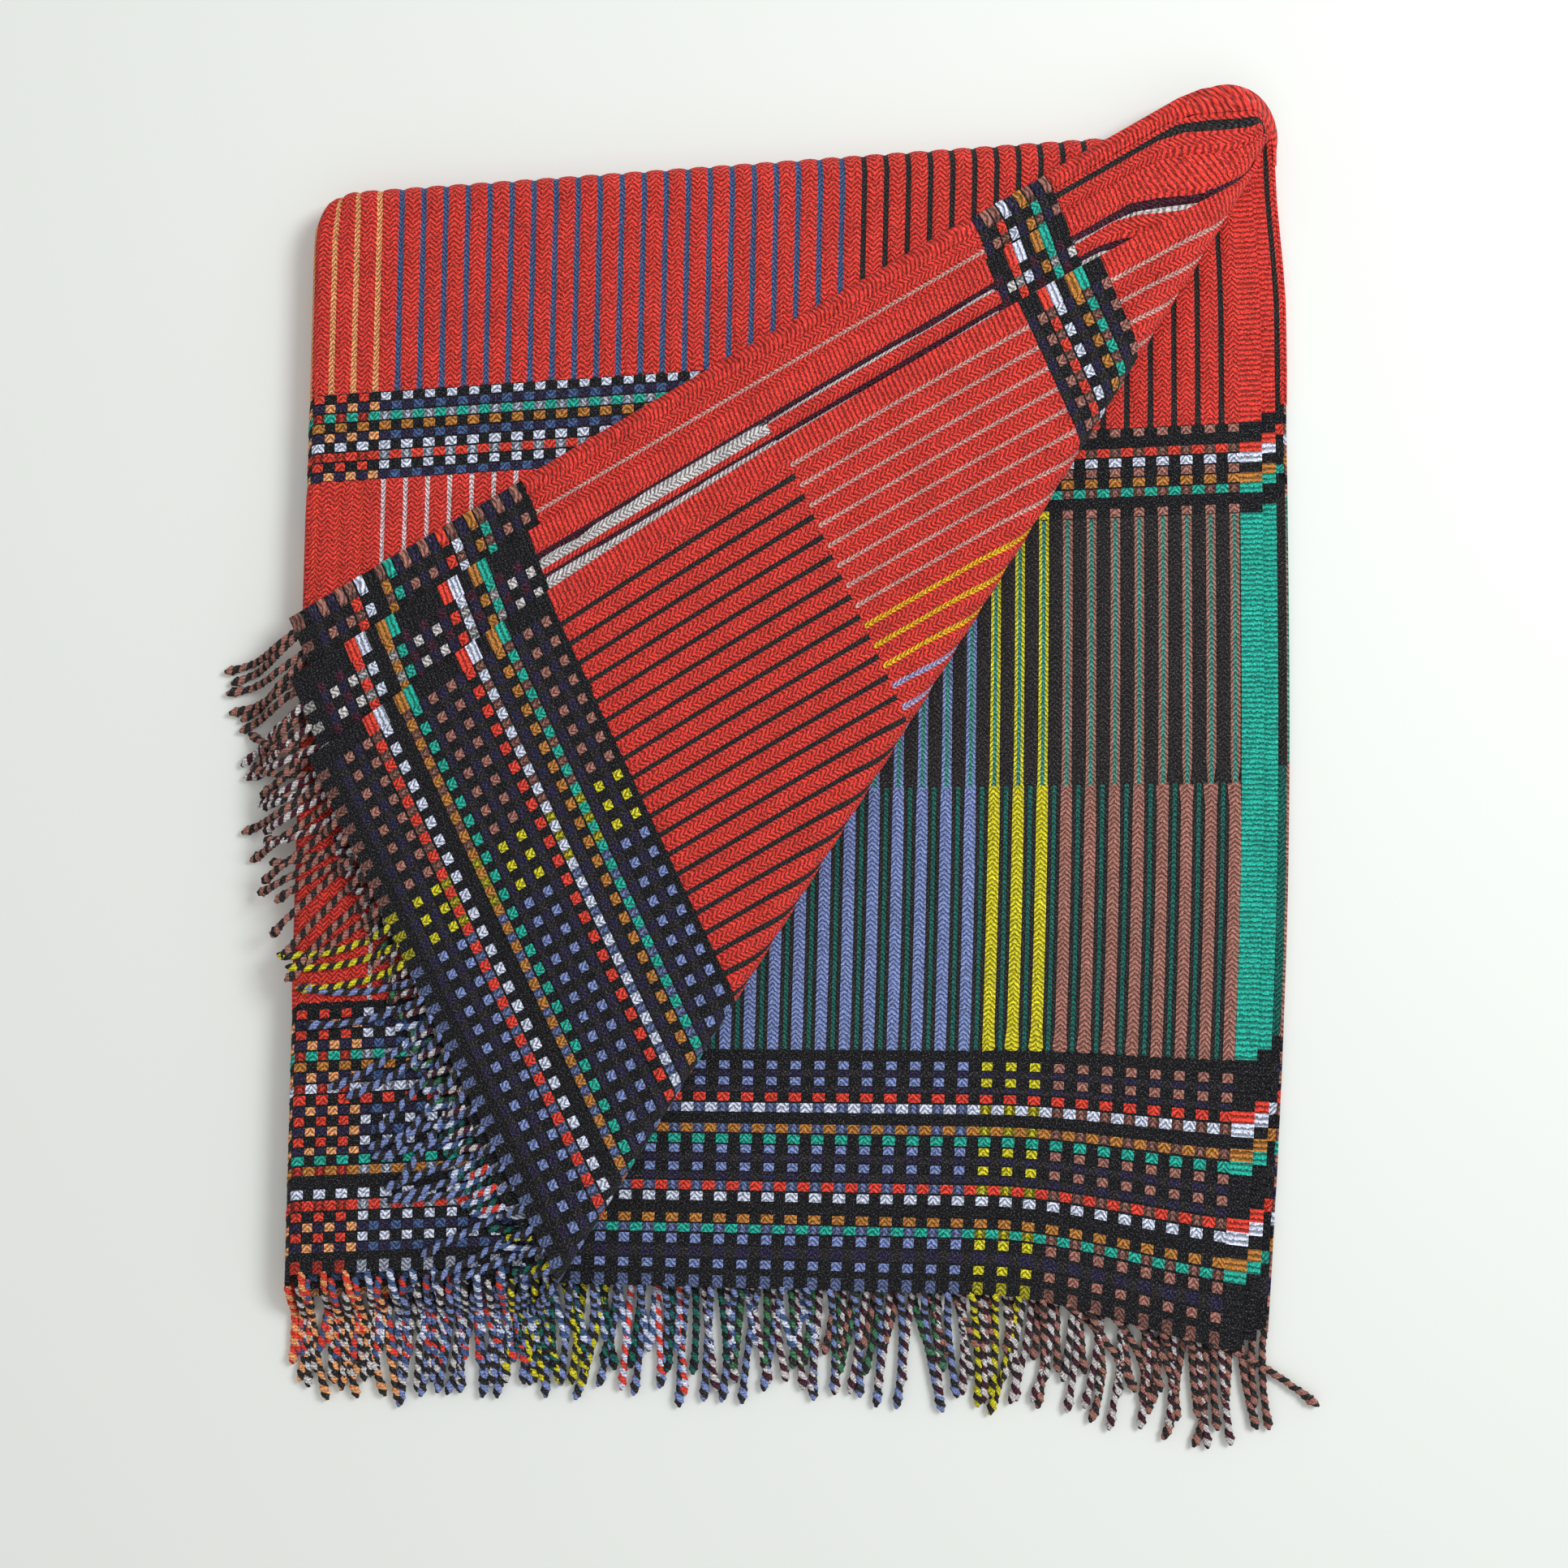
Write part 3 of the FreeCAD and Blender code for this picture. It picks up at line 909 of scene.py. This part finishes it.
def fold_up(bm, layer, ply):
    """Moves every vertex from its flat place to its folded one."""
    bm.verts.ensure_lookup_table()
    flat = np.zeros((len(bm.verts), 2))
    for face in bm.faces:
        for loop in face.loops:
            flat[loop.vert.index] = loop[layer].uv
    flat /= MM
    folded = place(flat[:, 0], flat[:, 1], ply)
    for vert, p in zip(bm.verts, folded):
        vert.co = p
    bm.normal_update()


# %% Colour, relief and thickness
# height of a rib, in millimetres
RELIEF = 0.32
SHARP_FROM = 62
pieces_made = []


def face_area(face, layer):
    """Flat area of a face, from its place on the unfolded cloth."""
    corners = [loop[layer].uv for loop in face.loops]
    pairs_round = zip(corners, corners[1:] + corners[:1])
    return sum(p.x * q.y - q.x * p.y for p, q in pairs_round) / 2


def colour_faces(bm, layer, back):
    """Gives each face the yarn on top, and returns the mean height of it round each vertex."""
    colours = bm.loops.layers.float_color.new("yarn_colour")
    lift = np.zeros(len(bm.verts))
    touching = np.zeros(len(bm.verts))
    for face in bm.faces:
        centre = sum((loop[layer].uv for loop in face.loops), Vector((0, 0)))
        centre = centre / len(face.loops) / MM
        colour, height = yarn_on_top(centre.x, centre.y, back)
        for loop in face.loops:
            loop[colours] = (*colour, 1)
            lift[loop.vert.index] += height
            touching[loop.vert.index] += 1
    return lift, np.maximum(touching, 1)


def finish_mesh(name, mesh, material):
    """Puts a finished mesh into the scene as a piece of its own."""
    piece = bpy.data.objects.new(name, mesh)
    bpy.context.scene.collection.objects.link(piece)
    mesh.materials.append(material)
    pieces_made.append(piece)
    return piece


def thicken(piece):
    """Gives the cloth its thickness, half above and half below."""
    solidify = piece.modifiers.new("thickness", "SOLIDIFY")
    solidify.thickness = CLOTH_THICKNESS * MM
    solidify.offset = 0
    bpy.context.view_layer.objects.active = piece
    with bpy.context.temp_override(object=piece, active_object=piece):
        bpy.ops.object.modifier_apply(modifier=solidify.name)
    for polygon in piece.data.polygons:
        polygon.use_smooth = True
    piece.data.set_sharp_from_angle(angle=math.radians(SHARP_FROM))


def cloth_piece(
    name, ply, across, along, zone_step, trim=None, fine=EVERYWHERE, gaps=True, back=False
):
    """One stretch of cloth. trim keeps what lies between two distances past the diagonal."""
    mesh = flat_grid(name, across, along, fine, zone_step, gaps, back)
    bm = bmesh.new()
    bm.from_mesh(mesh)
    bmesh.ops.remove_doubles(bm, verts=bm.verts, dist=MERGE)
    layer = keep_flat_places(bm)
    if trim is not None:
        trim_past_diagonal(bm, trim)
    fold_up(bm, layer, ply)
    lift, touching = colour_faces(bm, layer, back)
    # hidden plies stay smooth, and the cloth's back has its ribs the other way up
    relief = RELIEF * (-1 if back else 1) * (fine != HIDDEN)
    for vert, amount in zip(bm.verts, relief * lift / touching):
        raised = vert.co + vert.normal * amount
        raised.z = max(raised.z, CLOTH_THICKNESS / 2)
        vert.co = raised * MM
    area = sum(abs(face_area(face, layer)) for face in bm.faces)
    bm.to_mesh(mesh)
    bm.free()
    piece = finish_mesh(name, mesh, woven_wool)
    thicken(piece)
    piece["flat_area"] = area
    print(f"{name}: {len(piece.data.polygons)} faces, {area:.4f} square metres flat")
    return piece


# %% [markdown]
# ## The plies and the folds
# The real folds are nothing but cloth that bends. So each flat ply is a piece that rides on one
# body, and each bend is a piece of its own, left in place. Pieces meet a little way into the flat,
# past the end of each bend.

# %% Where each ply lies across the cloth, and where it passes the diagonal's top
PLY_ACROSS = {
    1: (0.0, PASS_1),
    4: (PASS_1, RIGHT_FOLD),
    3: (RIGHT_FOLD, PASS_3),
    2: (PASS_3, CLOTH_WIDTH),
}
PLY_AT_APEX = {
    1: PASS_1 - APEX_ACROSS,
    4: OUTER_FOLD + APEX_ACROSS,
    3: RIGHT_FOLD + WIDTH - APEX_ACROSS,
    2: INNER_FOLD + APEX_ACROSS,
}
# the stretches of each ply that can be seen, and so have fine lines
FOLD_STRIP = 26
EDGE_STRIP = 40
NEAR_FOLD = (PASS_4 - FOLD_STRIP, RIGHT_FOLD + FOLD_STRIP)
LOWER_FINE = {1: EVERYWHERE, 2: HIDDEN, 3: HIDDEN, 4: HIDDEN}
UPPER_FINE = {1: HIDDEN, 2: HIDDEN, 3: HIDDEN, 4: EVERYWHERE}
CORNER_FINE = {
    1: EVERYWHERE, 2: (CLOTH_WIDTH - EDGE_STRIP, CLOTH_WIDTH), 3: NEAR_FOLD, 4: NEAR_FOLD
}
# how far apart the mesh's lines are along a plain zone
SHOWN_STEP = 8
HIDDEN_STEP = 12
DIAGONAL_STEP = 4
TOP_FOLD_STEP = 1.6
CORNER_TURN_STEP = 0.5
# pieces meet a little way into the flat, past the end of each bend
SEAM = 2.5


def left_part(ply):
    """The stretch of a ply across the cloth that lies left of the diagonal's top."""
    start, end = PLY_ACROSS[ply]
    return (PLY_AT_APEX[ply], end) if ply in (1, 3) else (start, PLY_AT_APEX[ply])


def right_part(ply):
    """The rest of it, right of the diagonal's top."""
    start, end = PLY_ACROSS[ply]
    return (start, PLY_AT_APEX[ply]) if ply in (1, 3) else (PLY_AT_APEX[ply], end)


# %% The lower half's four plies
for ply in (4, 3, 2, 1):
    shown = ply == 1
    piece = cloth_piece(
        f"lower_cloth_{ply}", ply, PLY_ACROSS[ply], (0, MIDDLE - BEND[ply] - SEAM),
        zone_step=SHOWN_STEP if shown else HIDDEN_STEP, fine=LOWER_FINE[ply], gaps=shown,
    )
    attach(piece, "lower_half")
    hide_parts(f"lower_ply_{ply}")
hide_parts("lower_left_outer_fold", "lower_right_fold")
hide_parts("lower_left_inner_fold")

# %% The crosswise fold, and what stays down of the upper half
for ply in (1, 2, 3, 4):
    radius = PLY_RADIUS[ply]
    reach = BEND[ply] + SEAM
    shown = ply == 4
    fold = cloth_piece(
        f"top_fold_cloth_{ply}", ply, left_part(ply), (MIDDLE - reach, MIDDLE + reach),
        zone_step=TOP_FOLD_STEP, fine=UPPER_FINE[ply],
    )
    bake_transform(fold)
    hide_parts(f"top_fold_{ply}")
    piece = cloth_piece(
        f"upper_cloth_{ply}", ply, PLY_ACROSS[ply], (MIDDLE + reach, WARP_LENGTH),
        zone_step=SHOWN_STEP if shown else HIDDEN_STEP, trim=(None, -SEAM),
        fine=UPPER_FINE[ply], gaps=shown,
    )
    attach(piece, "upper_half")
    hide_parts(f"upper_ply_{ply}")
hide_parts("upper_left_outer_fold")
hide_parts("upper_left_inner_fold")

# %% The diagonal fold and the turned-back corner
for ply in (4, 3, 2, 1):
    reach = BEND[ply] + SEAM
    radius = HALF_PACK - PLY_RADIUS[ply]
    fold = cloth_piece(
        f"diagonal_fold_cloth_{ply}", ply, PLY_ACROSS[ply], (MIDDLE + reach, WARP_LENGTH),
        zone_step=DIAGONAL_STEP, trim=(-SEAM, math.pi * radius + SEAM),
        fine=CORNER_FINE[ply], gaps=ply == 1,
    )
    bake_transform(fold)
    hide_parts(f"diagonal_fold_{ply}")
    piece = cloth_piece(
        f"corner_cloth_{ply}", ply, PLY_ACROSS[ply], (MIDDLE + reach, WARP_LENGTH),
        zone_step=SHOWN_STEP, trim=(math.pi * radius + SEAM, None),
        fine=CORNER_FINE[ply], back=ply == 2,
    )
    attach(piece, "turned_corner")
    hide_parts(f"corner_ply_{ply}")
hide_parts("corner_right_fold")

# %% The bunched turn at the corner, where the crosswise fold runs into the diagonal one
for ply in (1, 2, 3, 4):
    reach = BEND[ply] + SEAM
    low_z = TOP_FOLD_Z - PLY_RADIUS[ply]
    mid_z = low_z + HALF_PACK
    high_z = mid_z + HALF_PACK
    halves = [
        ("start", (MIDDLE - reach, MIDDLE), "lower_half", "upper_half", low_z, mid_z),
        ("end", (MIDDLE, MIDDLE + reach), "upper_half", "turned_corner", mid_z, high_z),
    ]
    for word, along, first, second, start_z, end_z in halves:
        turn = cloth_piece(
            f"corner_turn_{word}_{ply}", ply, right_part(ply), along, zone_step=CORNER_TURN_STEP
        )
        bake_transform(turn)
        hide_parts("corner_turn")

# %% [markdown]
# ## Fringe
# Where the weaving stops, the warp ends are twisted together in pairs of strands, one cord for
# each pair of warp stripes. Each cord's outline is two round strands with a groove between them,
# which is wound along a drooping line. Each strand has the colour of the warp that it comes from,
# and a row of cords is one piece.

# %% The line of one cord
FRINGE_LENGTH = 46.0
CORD_STEP = 1.0
# how much a cord's heading sways, and how fast it comes to hang
SWAY = 0.10
SWAY_PACE = 0.8
SWAY_SPREAD = 3
DROOP = 0.13
STEEPEST = -1.1
LYING = -0.15
# heights of what cords rest on, and how far above it their middle lies
UPPER_TOP = TOP_FOLD_Z + 8.4
ON_UPPER = 0.6
ON_LOWER = 1.2
ON_TABLE = 2.1
# the edges of the upper and lower half in plan, and how far below its top a cord still finds it
UPPER_EDGES = (-184, -184)
LOWER_EDGES = (-183, -190)
UPPER_REACH = 1
LOWER_REACH = 2
rng = random.Random(60)


def support(x, y, height):
    """Height of what a cord at (x, y) would rest on."""
    if x > UPPER_EDGES[0] and y > UPPER_EDGES[1] and height > UPPER_TOP - UPPER_REACH:
        return UPPER_TOP + ON_UPPER
    if x > LOWER_EDGES[0] and y > LOWER_EDGES[1] and height > TOP_FOLD_Z - LOWER_REACH:
        return TOP_FOLD_Z + ON_LOWER
    return ON_TABLE


def cord_line(start, heading, lift, length, curl):
    """Points of one cord's line as it leaves the cloth and droops."""
    point = np.array(start, float)
    points = [point.copy()]
    angle, fall = heading, lift
    steps = round(length / CORD_STEP)
    step = length / steps
    sway = rng.uniform(-1, 1)
    for i in range(steps):
        angle += curl / steps + SWAY * math.sin(i * SWAY_PACE + sway * SWAY_SPREAD) * sway
        fall -= DROOP
        slope = max(fall, STEEPEST)
        flat = step / math.sqrt(1 + slope * slope)
        point = point + np.array([math.cos(angle) * flat, math.sin(angle) * flat, slope * flat])
        rest = support(point[0], point[1], point[2])
        if point[2] < rest:
            point[2] = rest
            fall = max(fall, LYING)
        points.append(point.copy())
    return np.array(points)


# %% The two strands wound along it
CORD_RADIUS = 1.22
TWIST = 5.4
# angles and sizes of a cord's outline, one strand after the other
OUTLINE = [(-52, 1.0), (0, 1.28), (52, 1.0), (128, 1.0), (180, 1.28), (232, 1.0)]
# the knot near the end: how much thicker, and where and how long as shares of the cord
KNOT = 0.35
KNOT_AT = 0.08
KNOT_LENGTH = 0.05
# the frayed tip: how thick, and how fast the cord gets its full size above it
TIP = 0.45
TIP_GROWTH = 14


def twisted_cord(points, colours, twist_start):
    """Vertices, faces and face colours of two strands twisted together along a line."""
    tangents = np.gradient(points, axis=0)
    tangents /= np.linalg.norm(tangents, axis=1)[:, None]
    side = np.cross(tangents, (0, 0, 1))
    side /= np.linalg.norm(side, axis=1)[:, None]
    up = np.cross(side, tangents)
    run = np.concatenate([[0], np.cumsum(np.linalg.norm(np.diff(points, axis=0), axis=1))])
    count = len(OUTLINE)
    verts, faces, paints = [], [], []
    for i, point in enumerate(points):
        left = 1 - i / (len(points) - 1)
        size = CORD_RADIUS * (1.0 + KNOT * math.exp(-((left - KNOT_AT) / KNOT_LENGTH) ** 2))
        size *= min(1, TIP + left * TIP_GROWTH)
        turn = 2 * math.pi * run[i] / TWIST + twist_start
        for degrees, bulge in OUTLINE:
            a = turn + math.radians(degrees)
            verts.append(point + size * bulge * (math.cos(a) * side[i] + math.sin(a) * up[i]))
    for i in range(len(points) - 1):
        for k in range(count):
            k2 = (k + 1) % count
            a, b = i * count, (i + 1) * count
            faces.append((a + k, b + k, b + k2, a + k2))
            paints.append(colours[0] if k < count // 2 else colours[1])
    last = (len(points) - 1) * count
    faces.append(tuple(range(count)))
    faces.append(tuple(last + k for k in reversed(range(count))))
    paints += [colours[0], colours[1]]
    return verts, faces, paints


# %% A row of fringe
CLUMP_SIZES = (2, 5)
LENGTHS = (0.9, 1.05)
# how far inside the cloth a cord starts
ROOT = 0.8


def fringe_piece(name, ply, v_end, keep, way_of):
    """The cords of one ply's woven end. keep(u) says which pairs belong to it."""
    verts, faces, paints = [], [], []
    clump, left_in_clump = (0.0, 0.0), 0
    low, high = PLY_ACROSS[ply]
    inward = v_end + (1.0 if v_end == 0 else -1.0)
    count = 0
    for pair in range(len(pairs)):
        u = PAIR_START[pair] + PAIR_PITCH[pair] / 2
        if not low <= u <= high or not keep(u):
            continue
        at, before = place(np.array([u, u]), np.array([v_end, inward]), ply)
        outward = unit(at - before)
        heading = math.atan2(outward[1], outward[0])
        if left_in_clump == 0:
            clump = (rng.uniform(-1, 1), rng.uniform(-1, 1))
            left_in_clump = rng.randint(*CLUMP_SIZES)
        left_in_clump -= 1
        spread, lift, curl, length = way_of(at, ply, clump)
        length *= rng.uniform(*LENGTHS)
        start = at - outward * ROOT
        line = cord_line(start, heading + spread, lift, length, curl)
        colours = (PAIR_A[pair], PAIR_B[pair])
        turn = rng.uniform(0, 6.3)
        cord_verts, cord_faces, cord_paints = twisted_cord(line, colours, turn)
        base = len(verts)
        verts += cord_verts
        faces += [tuple(base + i for i in face) for face in cord_faces]
        paints += cord_paints
        count += 1
    mesh = bpy.data.meshes.new(name)
    mesh.from_pydata([tuple(p * MM) for p in verts], [], faces)
    layer = mesh.attributes.new("yarn_colour", "FLOAT_COLOR", "CORNER")
    flat = mesh.uv_layers.new(name="flat_cloth")
    for polygon, paint in zip(mesh.polygons, paints):
        polygon.use_smooth = True
        for loop in polygon.loop_indices:
            vert = mesh.vertices[mesh.loops[loop].vertex_index].co
            layer.data[loop].color = (*paint, 1)
            flat.data[loop].uv = (vert.x, vert.y)
    piece = finish_mesh(name, mesh, fringe_wool)
    print(f"{name}: {count} cords, {len(mesh.polygons)} faces")
    return piece


# %% How the cords of each row lie
# lengths of the cords, as shares of the full one: those under others are seen for a part only
LOWER_SHARE = {1: 1.04, 2: 1.0, 3: 0.88, 4: 0.8}
CORNER_SHARE = {1: 1.06, 2: 0.26, 3: 0.34, 4: 0.36}
# the free end of the corner's lower rows, where cords are seen nearly whole
CORNER_FREE_END = {2: -161, 3: -161, 4: -150}
FREE_SHARE = 0.95
# where the top row's cords start to turn right, and where the last ones lie out to the right
TURNS_RIGHT_FROM = 95
LIES_RIGHT_FROM = 150
LIES_RIGHT_SHARE = 1.1


def lower_way(at, ply, clump):
    """Spread, lift, curl and length of a cord that hangs down from the pack's lower end."""
    spread = 0.14 * clump[0] + rng.uniform(-0.07, 0.09)
    curl = 0.3 * clump[1] + rng.uniform(-0.1, 0.1)
    if ply == 1 and at[0] > TURNS_RIGHT_FROM:
        spread += rng.uniform(0.5, 0.95)
        curl -= rng.uniform(0.5, 1.2)
    if ply == 1 and at[0] > LIES_RIGHT_FROM:
        length = FRINGE_LENGTH * LIES_RIGHT_SHARE
        return rng.uniform(1.15, 1.3), 0.1, -0.35 + 0.2 * clump[1], length
    return spread, rng.uniform(-0.1, 0.35), curl, FRINGE_LENGTH * LOWER_SHARE[ply]


def corner_way(at, ply, clump):
    """The same for a cord of the turned corner, which lies over the pack's left side."""
    spread = 0.26 * clump[0] + rng.uniform(-0.1, 0.1)
    curl = 0.5 * clump[1] - 0.2 + rng.uniform(-0.12, 0.12)
    share = CORNER_SHARE[ply]
    if ply > 1 and at[0] < CORNER_FREE_END[ply]:
        share = FREE_SHARE
    return spread, rng.uniform(0.0, 0.3), curl, FRINGE_LENGTH * share


def past_diagonal(u):
    """How far past the diagonal a place on the upper half's woven end lies before the turn."""
    across, _ = lengthwise(np.array([u]))
    down = WARP_LENGTH - MIDDLE - HALF_PACK
    return float(((upper_plan(across, np.array([down])) - DIAGONAL_TOP) @ OUT_DIAGONAL)[0])


# %% The rows of fringe
for ply in (1, 2, 3, 4):
    middle = math.pi * (HALF_PACK - PLY_RADIUS[ply]) / 2
    cords = fringe_piece(f"lower_fringe_cords_{ply}", ply, 0.0, lambda u: True, lower_way)
    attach(cords, "lower_half")
    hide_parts(f"lower_fringe_{ply}")
    cords = fringe_piece(
        f"upper_fringe_cords_{ply}", ply, WARP_LENGTH,
        lambda u: past_diagonal(u) < middle, lower_way,
    )
    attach(cords, "upper_half")
    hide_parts(f"upper_fringe_{ply}")
    cords = fringe_piece(
        f"corner_fringe_cords_{ply}", ply, WARP_LENGTH,
        lambda u: past_diagonal(u) >= middle, corner_way,
    )
    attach(cords, "turned_corner")
    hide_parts(f"corner_fringe_{ply}")

# %% [markdown]


# %% [markdown]
# ## Table and light
# A pale matt table top in soft daylight from the upper right. A large area light makes the
# wide, faint shadow at the throw's left, and a bright world fills the rest.

# %% Table top
TABLE_SIZE = 4
TABLE_GAP = 0.0002
bpy.ops.mesh.primitive_plane_add(size=TABLE_SIZE)
table = bpy.context.object
table.name = "table_top"
table.location.z = -TABLE_GAP
paint = bpy.data.materials.new("matt_white_paint")
paint.use_nodes = True
finish = paint.node_tree.nodes["Principled BSDF"].inputs
finish["Base Color"].default_value = (*linear("#E9ECE8"), 1)
finish["Roughness"].default_value = 0.7
table.data.materials.append(paint)

# %% Daylight
window = bpy.data.objects.new("window_light", bpy.data.lights.new("window_light", "AREA"))
window.data.size = 0.55
window.data.energy = 15
window.data.color = (0.96, 0.985, 1.0)
window.location = (0.9, 0.5, 1.2)
window.rotation_euler = (Vector((0, 0, 0)) - window.location).to_track_quat("-Z", "Y").to_euler()
bpy.context.scene.collection.objects.link(window)
world = bpy.data.worlds.new("room")
world.use_nodes = True
background = world.node_tree.nodes["Background"].inputs
background["Color"].default_value = (0.985, 0.98, 0.965, 1)
background["Strength"].default_value = 0.64
bpy.context.scene.world = world
bpy.context.scene.view_settings.view_transform = "Standard"

# %% Piece count, and the end
print("pieces:", len(pieces_made))
